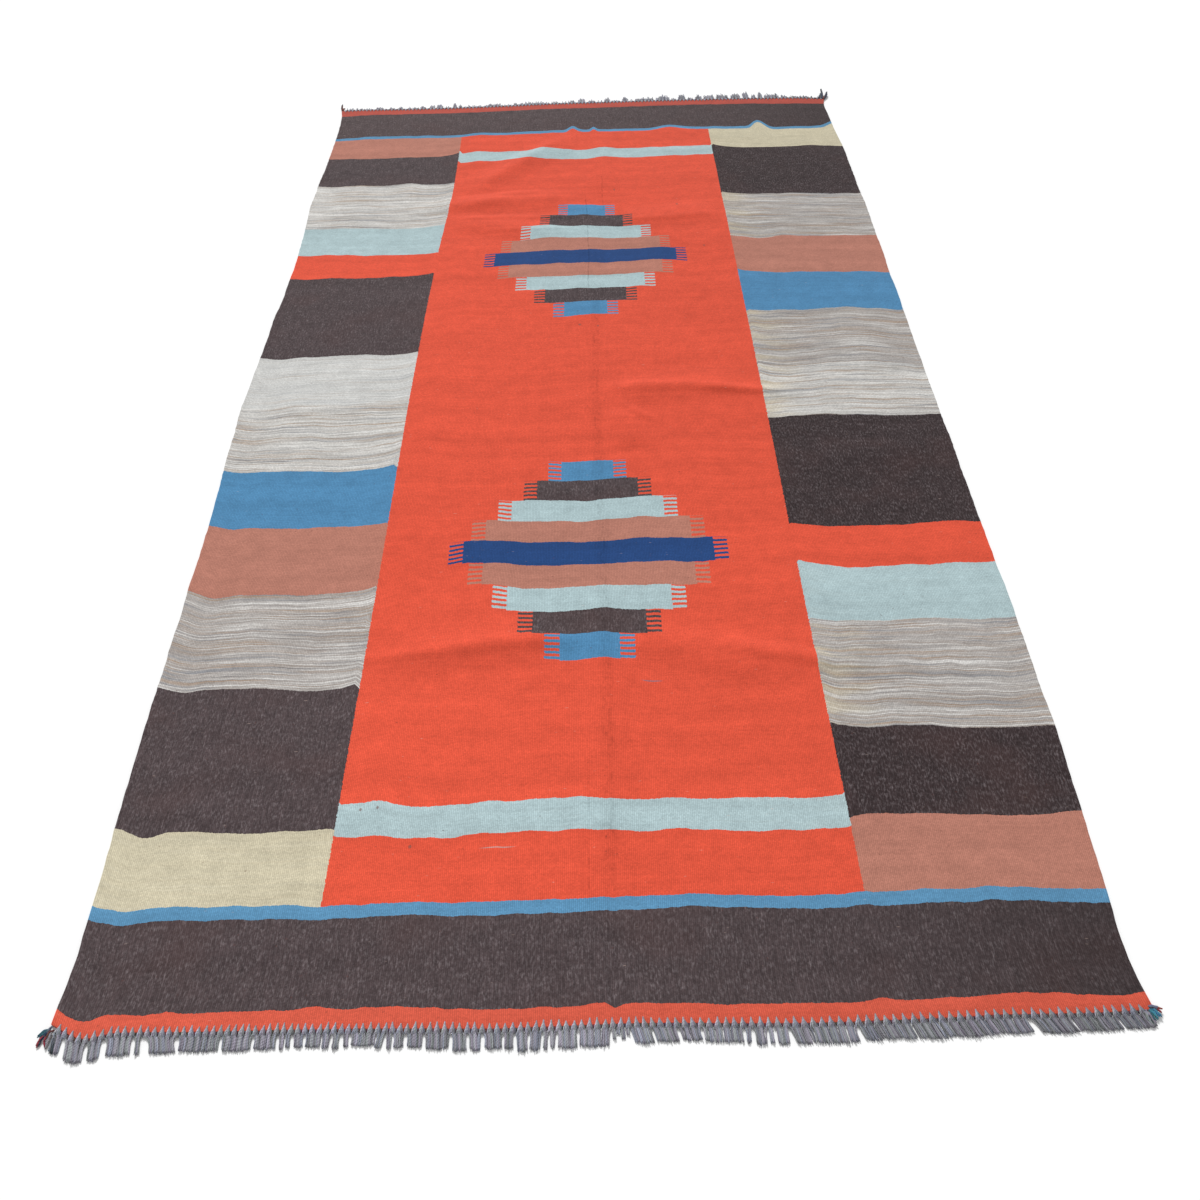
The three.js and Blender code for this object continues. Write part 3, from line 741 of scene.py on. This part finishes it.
def woven_wool():
    """The weave: ribs over the warps, crossed by beads of weft, in bars of plain and streaked wool."""
    n = Nodes("woven_wool")
    warp, weft = n.uv("warp_weft")
    across = n.uv("layout")[0]

    # The wefts wander a little, and each shows as a row of beads on every other rib
    weft = weft + (n.noise(warp, weft, 22, 10, 30) - 0.5) * 0.009
    rib_at = warp / WARP_PITCH
    rib = n.math("FLOOR", rib_at)
    odd = rib % 2 * 0.5
    row_at = weft / WEFT_PITCH + odd
    row = n.math("FLOOR", row_at)
    thread = (row + 0.5 - odd) * WEFT_PITCH
    bead = n.value("ShaderNodeTexWhiteNoise", {"Vector": n.place(rib, row)}, "Value", noise_dimensions="2D")

    join_jitter = (n.noise(warp, thread, 3, 410, 33) - 0.5) * 0.006
    edge_jitter = (n.noise(warp, weft, 260, 60, 36) - 0.5) * 0.003
    wool, streaky = plain_bars(n, across + join_jitter, weft + edge_jitter)
    wool = undyed_streaks(n, wool, streaky, warp, weft, across)
    wool = field_marks(n, wool, warp, weft)

    # Dyed wool: slow changes of the dye bath along the rug, clouds, single threads and beads
    red, _, blue = n.parts("ShaderNodeSeparateColor", wool)
    darkness = n.between(n.math("MAXIMUM", red, blue), 0.13, 0.09)
    bath = n.between(n.noise(warp, thread, 0.9, 27, 5, detail=3), 0.32, 0.68, 0.94, 1.06)
    cloud = n.between(n.noise(warp, weft, 24, 30, 7, 4, roughness=0.62), 0.32, 0.68, 0.93, 1.07)
    pick = n.between(n.noise(warp, thread, 5, 415, 11, detail=1), 0.32, 0.68, 0.95, 1.05)
    uneven = darkness * 0.12 + streaky * 0.06 + 0.18
    wool = n.shaded(wool, bath * cloud * pick * ((bead - 0.5) * uneven + 1))
    speck = n.between(n.noise(warp, weft, 120, 150, 2, detail=1), 0.735, 0.8, 0, 0.42)
    wool = n.mix(speck, wool, SPECK)
    slub = n.between(n.noise(warp, weft, 60, 330, 6, detail=1), 0.76, 0.82, 0, 0.35)
    wool = n.mix(slub, wool, SLUB)

    # Dark wool is flecked with lighter hairs, more in some places than in others
    hairs = n.noise(warp, weft, 300, 120, 4, roughness=0.6)
    crowd = n.between(n.noise(warp, weft, 40, 46, 27, detail=3), 0.38, 0.62, 0.4, 1)
    wool = n.mix(n.between(hairs, 0.47, 0.76, 0, 0.46) * crowd * darkness, wool, FLECK)
    along_rib = n.between(n.noise(rib, weft, 0.71, 26, 31), 0.3, 0.7, -0.2, 0.2)
    wool = n.shaded(wool, along_rib * darkness + 1)
    reddish = n.between(n.noise(warp, weft, 5, 7, 28, detail=3), 0.5, 0.68, 0, 0.25)
    wool = n.mix(reddish * darkness, wool, REDDISH)

    # Painted shade where the light falls off: the borders darken to the right, and the whole a little to
    # the right and beyond the near end
    from_middle = abs(weft - WEAVE_LENGTH / 2)
    border = WEAVE_LENGTH / 2 - BORDER_REACH
    by_end = n.between(from_middle, border, border + 0.02)
    shade_to_right = n.between(warp, 0, 0.85, 0, -0.2) + n.between(warp, 0.48, 0.8, 0, -0.16)
    wool = n.shaded(wool, shade_to_right * by_end * (darkness * 0.75 + 0.25) + 1)
    light_falloff_across = n.between(warp, -WEAVE_WIDTH / 4, WEAVE_WIDTH / 4, 1.02, 0.96)
    wool = n.shaded(wool, light_falloff_across * n.between(weft, 0.4, 1.3, 1, 0.955))

    # Relief: each bead is a small pillow between the hollows of the warps
    over_rib = abs(n.math("SINE", rib_at * math.pi))
    over_row = abs(n.math("SINE", row_at * math.pi))
    pillow = n.math("POWER", over_rib, 0.6) * n.between(over_row, 0, 0.7, 0.7, 1)
    # Painted shade in the hollows between the warps and between the beads
    wool = n.shaded(wool, n.between(pillow, 0, 0.75, 0.74, 1.04))

    fuzz = n.noise(warp, weft, 900, 900, 14)
    lumps = n.noise(warp, weft, 90, 140, 8, detail=3, roughness=0.6)
    height = pillow * 0.7 + lumps * 0.7 + fuzz * 0.35

    # The last pick at each end is in the shade of the teeth
    wool = n.shaded(wool, n.between(WEAVE_LENGTH / 2 - from_middle, 0.0002, 0.0014, 0.5, 1))
    return n.finish(
        wool, height, 0.8, 0.0007,
        Roughness=0.95, Sheen_Weight=0.04, Sheen_Roughness=0.5, Specular_IOR_Level=0.1,
    )


def twisted_yarn():
    """Plied yarn: its colour comes from each yarn's tone, its plies from the turn and length."""
    n = Nodes("twisted_yarn")
    turn, length = n.uv("yarn")
    ply = abs(n.math("SINE", (turn * 2 + length * 230) * math.pi))
    fibres = n.noise(turn, length, 9, 900, detail=3)
    # Painted shade: darker near each yarn's root, where the teeth shade it, and in the hollows between the
    # plies
    root = n.between(length, 0, 0.006, 0.8, 1)
    shade = n.between(ply, 0, 0.6, 0.88, 1.03) * n.between(fibres, 0.3, 0.7, 0.84, 1.16) * root
    colour = n.shaded(n.value("ShaderNodeVertexColor", layer_name="tone"), shade)
    return n.finish(
        colour, ply + fibres * 0.5, 0.7, 0.0005,
        Roughness=0.92, Sheen_Weight=0.2, Sheen_Roughness=0.5, Specular_IOR_Level=0.15,
    )


def pale_floor():
    n = Nodes("pale_floor")
    x, y, _ = n.parts("ShaderNodeSeparateXYZ", n.value("ShaderNodeTexCoord", output="Object"))
    grain = n.noise(x, y, 60, 60, detail=3)
    colour = n.mix(grain, (0.87, 0.87, 0.87, 1), (0.89, 0.89, 0.89, 1))
    return n.finish(colour, grain, 0.1, 0.0005, Roughness=0.9, Specular_IOR_Level=0.1)


# The woven cloth


def uneven_edge(along, seed):
    """Small pulls of the side cords, a millimetre or two in and out."""
    slow = ripples(along, np.zeros_like(along), 0.003, 5.0, seed)
    return slow + ripples(along, np.zeros_like(along), 0.0014, 42.0, seed + 1)


def cloth_lift(x, y, from_end):
    """How far the cloth's middle stands off the floor, and the creases on its top."""
    sway = ripples(x, y, 0.01, 4.0, 3) - 0.005
    lift = sum(fold_lift(fold, x, y) for fold in FOLDS)
    lift = lift + sum(fold_lift(ridge, x, y, sway) for ridge in RIDGES)
    lift = lift + ripples(x, y, 0.0016, 2.6, 5) + ripples(x, y, 0.0007, 8.0, 6)
    crease = sum(fold_lift(fold, x, y, 0.4 * sway) for fold in CREASES)
    settle = smooth_step(0.0, 0.1, from_end)
    return lift * settle, crease * settle


def layout_across(x, y, left, right):
    """The place across the rug with the joins straightened, so that the bars can be laid out on it."""
    half = WEAVE_WIDTH / 2
    join_left, join_right = joins_at(y)
    in_left = -half + (x - left) * (JOIN_LEFT + half) / (join_left - left)
    in_field = JOIN_LEFT + (x - join_left) * (JOIN_RIGHT - JOIN_LEFT) / (join_right - join_left)
    in_right = JOIN_RIGHT + (x - join_right) * (half - JOIN_RIGHT) / (right - join_right)
    return np.where(x < join_left, in_left, np.where(x > join_right, in_right, in_field))


def sheet_faces(rows, columns, loop):
    """Faces of a sheet made of loops of points, and those that close its first and last loop."""
    start = np.arange(rows - 1)[:, None] * loop
    here = start + np.arange(loop)
    onward = start + (np.arange(loop) + 1) % loop
    faces = np.stack([here, onward, onward + loop, here + loop], axis=2).reshape(-1, 4)

    under_first = columns + RIM_STEPS - 1
    under_last = under_first + (columns - 1) // 2
    pairs = range((columns - 1) // 2)
    caps = [(2 * k, under_last - k, under_last - k - 1, 2 * k + 2, 2 * k + 1) for k in pairs]
    caps += [tuple(range(under_first, columns - 2, -1)), (0, *range(loop - 1, under_last - 1, -1))]
    last = (rows - 1) * loop
    caps += [tuple(last + i for i in face[::-1]) for face in caps]
    return faces.tolist(), caps


def woven_cloth(material):
    """One closed sheet with rounded rims: a loop of points over and under for every weft row."""
    dense_across, dense_along = fold_stretches()
    side_rim = np.array([0.0009, 0.0018, 0.004, 0.0075]) / WEAVE_WIDTH
    end_rim = np.array([0.0007, 0.0022]) / WEAVE_LENGTH
    u = closer_over(CLOTH_COLUMNS, WEAVE_WIDTH, dense_across)
    u = np.sort(np.concatenate([u[1:-1], side_rim, 1 - side_rim, [0.5]]))
    v = np.sort(np.concatenate([closer_over(CLOTH_ROWS, WEAVE_LENGTH, dense_along), end_rim, 1 - end_rim]))
    fullness = np.ones_like(v)[:, None]
    fullness[[0, -1]] = 0.3
    fullness[[1, -2]] = 0.76

    along = SIDES[0].along + (SIDES[-1].along - SIDES[0].along) * v
    half = WEAVE_WIDTH / 2
    tuck = 0.0022
    left = -half - curve_through(SIDES, "along", "left", along) - uneven_edge(along, 11) + tuck
    right = half + curve_through(SIDES, "along", "right", along) + uneven_edge(along, 23) - tuck
    left, right = left[:, None], right[:, None]
    across = CORNER_ACROSS * (2 * u - 1)
    near = curve_through(ENDS, "across", "near", across)
    far = curve_through(ENDS, "across", "far", across)

    x = left + (right - left) * u
    y = near + (far - near) * v[:, None]
    from_end = np.minimum(v, 1 - v)[:, None] * WEAVE_LENGTH + 0 * x
    inward = np.minimum(np.minimum(x - left, right - x), from_end)
    lift, crease = cloth_lift(x, y, from_end)
    cord = 0.0007 * smooth_step(0.009, 0.004, inward) * (from_end > inward)
    middle = lift + CLOTH_THICKNESS / 2
    thick = CLOTH_THICKNESS / 2 * fullness
    top = middle + thick + crease + cord * fullness
    under = middle - thick

    warp = (u - 0.5) * WEAVE_WIDTH + 0 * x
    weft = v[:, None] * WEAVE_LENGTH - weft_drift(x, y, from_end)
    layout = layout_across(x, y, left, right)

    # One loop a row: over from left to right, round the right rim, back under, round the left.
    # The underside has every second column.
    rows, columns = x.shape
    turns = math.pi * np.arange(1, RIM_STEPS) / RIM_STEPS
    bulge = RIM_BULGE * np.sin(turns) * fullness

    def around(over, below, out=0.0):
        """The values of each row's loop, with those of its rims in between."""
        centre, swing = (over + below) / 2, (over - below) / 2
        right_rim = centre[:, -1:] + swing[:, -1:] * np.cos(turns) + out
        left_rim = centre[:, :1] - swing[:, :1] * np.cos(turns) - out
        return np.concatenate([over, right_rim, below[:, ::-2], left_rim], axis=1)

    grid = np.stack([around(x, x, bulge), around(y, y), np.maximum(around(top, under), 0.0)], axis=2)
    loop = grid.shape[1]
    points = grid.reshape(-1, 3)
    faces, caps = sheet_faces(rows, columns, loop)

    # The bake map lays the top face large and the underside beside it
    corners = np.concatenate([np.array(face) for face in faces + caps])
    top_scale, under_scale = 0.985 / 3.06, 0.75 / 3.06
    is_under = np.zeros(loop, dtype=bool)
    first_under = columns + RIM_STEPS // 2 - 1
    is_under[first_under : first_under + RIM_STEPS + (columns - 1) // 2] = True
    face_under = np.concatenate([np.tile(is_under, rows - 1), np.zeros(len(caps), dtype=bool)])
    corner_under = np.repeat(face_under, [len(face) for face in faces + caps])
    scale = np.where(corner_under, under_scale, top_scale)
    bake_u = (points[corners, 0] + 0.885) * scale + np.where(corner_under, 0.575, 0.002)
    bake_v = (points[corners, 1] + 1.545) * scale + 0.005
    warp, weft, layout = (around(part, part).reshape(-1)[corners] for part in (warp, weft, layout))
    shape = Shape()
    shape.add(
        points.tolist(),
        faces + caps,
        warp_weft=np.stack([warp, weft], axis=1),
        layout=np.stack([layout, weft], axis=1),
        OFBake=np.stack([bake_u, bake_v], axis=1),
    )
    return shape.piece("woven_cloth", material)


# Fringes


def edge_at(end, across):
    return float(curve_through(ENDS, "across", end, np.array(across)))


def yarn_tone(draw, across, light):
    """Grey of one warp yarn, lighter towards the left: painted light that falls off to the right."""
    level = light * (0.305 - 0.1 * max(across, 0.0)) * draw.uniform(0.8, 1.22)
    return tuple(level * part for part in draw.choice(YARN_TINTS))


def knot_places(spacing):
    """The place across the rug of any knot's number, counted from the left, halves and all."""
    across = np.linspace(spacing[0].across, spacing[-1].across, 2001)
    rate = 1 / np.interp(across, [row.across for row in spacing], [row.pitch for row in spacing])
    passed = np.cumsum(rate) - rate[0]
    return lambda number: float(np.interp(number, passed * TEETH / passed[-1], across))


def tooth(shape, draw, place, centre, pitch, slant):
    """Thin yarns that come out of the weave at one point and fan out over its edge."""
    apex = centre - slant + draw.uniform(-0.0012, 0.0012)
    rise = draw.uniform(0.0084, 0.012)
    top = CLOTH_THICKNESS
    for leg in range(LEGS):
        share = 2 * leg / (LEGS - 1) - 1
        radius = LEG_RADIUS * draw.uniform(0.85, 1.15)
        foot = centre + share * pitch * 0.33 + draw.uniform(-0.0004, 0.0004)
        head = rise * (1 - 0.28 * share * share)
        path = level_path([
            place(apex + share * 0.0008, -head, top + 0.0002),
            place(apex * 0.6 + foot * 0.4, -head * 0.55, top + radius * 0.9),
            place(apex * 0.24 + foot * 0.76, -head * 0.12, top + radius * 0.8),
            place(foot, 0.0024, 0.0042),
            place(foot + share * pitch * 0.06 + slant * 0.6, 0.0066, 0.003),
        ], 8)
        radii = [radius * r for r in (0.6, 0.85, 1, 1.05, 1.05, 1, 0.85, 0.5)]
        # Painted light and shade: the left legs of each tooth are lighter, the right legs darker
        tone = yarn_tone(draw, centre, 1.00 - 0.44 * share)
        tube(shape, path, radii, tone, lobes=0.12)

    # Painted shade between this tooth and the next: a dark tube laid where the shade falls
    dark = tuple(part * draw.uniform(0.5, 1.8) for part in (0.08, 0.03, 0.034))
    gap = centre + pitch / 2
    path = level_path([place(gap, -0.0012, top), place(gap, 0.001, 0.0046), place(gap, 0.0032, 0.004)], 5)
    tube(shape, path, [0.0005, 0.001, 0.0013, 0.0011, 0.0005], dark, lobes=0.12)


def fringe(end, spacing, locks, material, seed, uneven, lifted, yarn_radius):
    """Pointed teeth over the edge of the cloth, and cut yarns that hang from them in locks."""
    draw = random.Random(seed)
    side = -1 if end == "near" else 1
    shape = Shape()
    knot_at = knot_places(spacing)

    def place(x, out, z):
        return (x, edge_at(end, x) + side * out, z)

    done = 1.0
    for lock in locks:
        first, done = done, min(done + lock.knots, TEETH - 1.0)
        left, right = knot_at(first), knot_at(done)
        width = right - left
        pitch = width / lock.knots
        middle = left + width / 2
        taper = COMBED_TAPER if lock.lean >= COMBED_LEAN else LOCK_TAPER
        tip_width = max(width * (1 - lock.gather) - taper * pitch, LONE_TIP * pitch)
        lock_light = draw.uniform(0.9, 1.1)
        yarns = max(3, round(lock.knots * YARNS_PER_KNOT))
        for yarn in range(yarns):
            share = (yarn + 0.5) / yarns - 0.5
            from_tooth = (first + (share + 0.5) * (done - first)) % 1.0 - 0.5
            radius = yarn_radius * draw.uniform(0.85, 1.15)
            length = lock.length * (1 - uneven * (2 * share) ** 2)
            reach = STRIP_DEPTH + length * draw.uniform(1 - uneven, 1 + uneven * 0.3)
            draw_in = share * (tip_width - width)
            sway, jitter = draw.uniform(-0.0009, 0.0009), draw.uniform(-0.0007, 0.0007)
            rest = draw.choice((0.0, 0.0, 0.0012)) + draw.uniform(0.0, lifted) * (draw.random() < 0.4)
            points = []
            for step in (0.0, 0.16, 0.36, 0.66, 1.0):
                gathered = 1 - (1 - step) ** 5 - LOCK_FLARE * step**2
                bend = draw_in * gathered + sway * math.sin(math.pi * step)
                bend -= KNOT_GATHER * from_tooth * pitch * (1 - step) ** 2
                x = middle + share * width + bend + lock.lean * 1.05 * step + jitter * step
                z = ROOT_LEVEL + (radius - ROOT_LEVEL) * step**0.8 + rest * step
                points.append(place(x, ROOT_OUT + (reach - ROOT_OUT) * step, z))
            radii = [radius * r for r in (0.85, 0.95, 1, 1, 1, 1, 1, 1, 0.95, 0.55)]
            tone = yarn_tone(draw, middle, lock_light * (1 - KNOT_SHADE * (2 * from_tooth) ** 2))
            tube(shape, level_path(points, 10), radii, tone)

    done_knots = np.cumsum([lock.knots for lock in locks])
    lean = np.interp(np.arange(TEETH), done_knots, [lock.lean for lock in locks])
    for knot in range(1, TEETH - 1):
        left, right = knot_at(knot), knot_at(knot + 1)
        tooth(shape, draw, place, (left + right) / 2, right - left, 0.2 * float(lean[knot]))
    return shape.piece(f"knotted_fringe_{end}", material)


# Corner tufts and loose thread


def corner_tuft(tuft, material, seed):
    """The frayed end of a side cord: short yarns of a few colours."""
    draw = random.Random(seed)
    shape = Shape()
    corner_x, corner_y = tuft.corner

    def near(x, y, z, spread):
        stray_x, stray_y = draw.uniform(-spread, spread), draw.uniform(-spread, spread)
        return (corner_x + x + stray_x, corner_y + y + stray_y, z)

    for colour, yarns, *places in tuft.rows:
        start_x, start_y, bend_x, bend_y, tip_x, tip_y, lift = (place / 1000 for place in places)
        for _ in range(yarns):
            radius = tuft.radius * draw.uniform(0.85, 1.15)
            path = level_path([
                near(start_x, start_y, 0.0034, 0.0012),
                near((start_x + bend_x) / 2, (start_y + bend_y) / 2, 0.0046, 0.0012),
                near(bend_x, bend_y, 0.0036 + lift * 0.5, 0.0018),
                near(tip_x, tip_y, radius + lift, 0.0024),
            ], 10)
            radii = [radius * r for r in (0.8, 1, 1, 1, 1, 1, 1, 1, 1, 0.75)]
            tone = tuple(part * draw.uniform(0.85, 1.2) for part in TUFT_COLOURS[colour])
            tube(shape, path, radii, tone)
    return shape.piece(f"corner_{tuft.node}", material)


def loose_thread(material):
    """A short pale thread that lies on the field."""
    shape = Shape()
    z = CLOTH_THICKNESS + 0.0012
    path = level_path([(0.022, -1.231, z), (0.03, -1.223, z), (0.043, -1.221, z), (0.058, -1.216, z)], 10)
    tube(shape, path, [0.0005] * 10, (0.62, 0.45, 0.36), sides=5, lobes=0.0)
    return shape.piece("loose_thread", material)


# Floor, light and camera


def studio():
    mesh = bpy.data.meshes.new("floor")
    corners = [(x * FLOOR_SIZE, y * FLOOR_SIZE, 0) for x, y in ((-1, -1), (1, -1), (1, 1), (-1, 1))]
    mesh.from_pydata(corners, [], [(0, 1, 2, 3)])
    mesh.materials.append(pale_floor())
    floor = placed("floor", mesh)
    floor.location.z = FLOOR_LEVEL

    # Soft light from beyond the far end, a little from the left, low enough to show the folds
    light = bpy.data.lights.new("window_light", "SUN")
    light.angle = math.radians(LIGHT_SOFTNESS)
    light.energy = LIGHT_STRENGTH
    turn, rise = math.radians(LIGHT_FROM_LEFT), math.radians(LIGHT_ELEVATION)
    towards = Vector((-math.sin(turn) * math.cos(rise), math.cos(turn) * math.cos(rise), math.sin(rise)))
    placed("window_light", light).rotation_euler = towards.to_track_quat("Z", "Y").to_euler()

    world = bpy.data.worlds.new("soft_room")
    world.use_nodes = True
    background = world.node_tree.nodes["Background"].inputs
    background["Color"].default_value = (1, 1, 1, 1)
    background["Strength"].default_value = ROOM_STRENGTH
    bpy.context.scene.world = world
    bpy.context.scene.view_settings.view_transform = "Standard"


def camera():
    data = bpy.data.cameras.new("camera")
    data.sensor_width = SENSOR
    data.lens = SENSOR * FOCAL_PIXELS / PHOTO_SIDE
    right, down, forward = Vector(CAMERA_RIGHT), Vector(CAMERA_DOWN), Vector(CAMERA_FORWARD)
    place = Vector(CAMERA_PLACE) + Vector((*WEAVE_MIDDLE, CLOTH_THICKNESS))
    axes = Matrix((right, -down, -forward)).transposed().to_4x4()
    obj = placed("camera", data)
    obj.matrix_world = Matrix.Translation(place) @ axes
    bpy.context.scene.camera = obj


camera()
studio()

wool = woven_wool()
yarn = twisted_yarn()

cloth = woven_cloth(wool)
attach(cloth, "root")
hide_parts("rug_weave")

near_fringe = fringe(
    "near", NEAR_SPACING, NEAR_LOCKS, yarn, seed=31, uneven=0.11, lifted=0.0012, yarn_radius=0.00115
)
far_fringe = fringe(
    "far", FAR_SPACING, FAR_LOCKS, yarn, seed=47, uneven=0.38, lifted=0.006, yarn_radius=0.00135
)
for piece, node in ((near_fringe, "fringe_near"), (far_fringe, "fringe_far")):
    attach(piece, "root")
    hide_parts(node)

tufts = []
for number, tuft in enumerate(TUFTS):
    piece = corner_tuft(tuft, yarn, 60 + number)
    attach(piece, "root")
    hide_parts(tuft.node)
    tufts.append(piece)

thread = loose_thread(yarn)
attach(thread, "root")

[near_fringe, far_fringe] + tufts
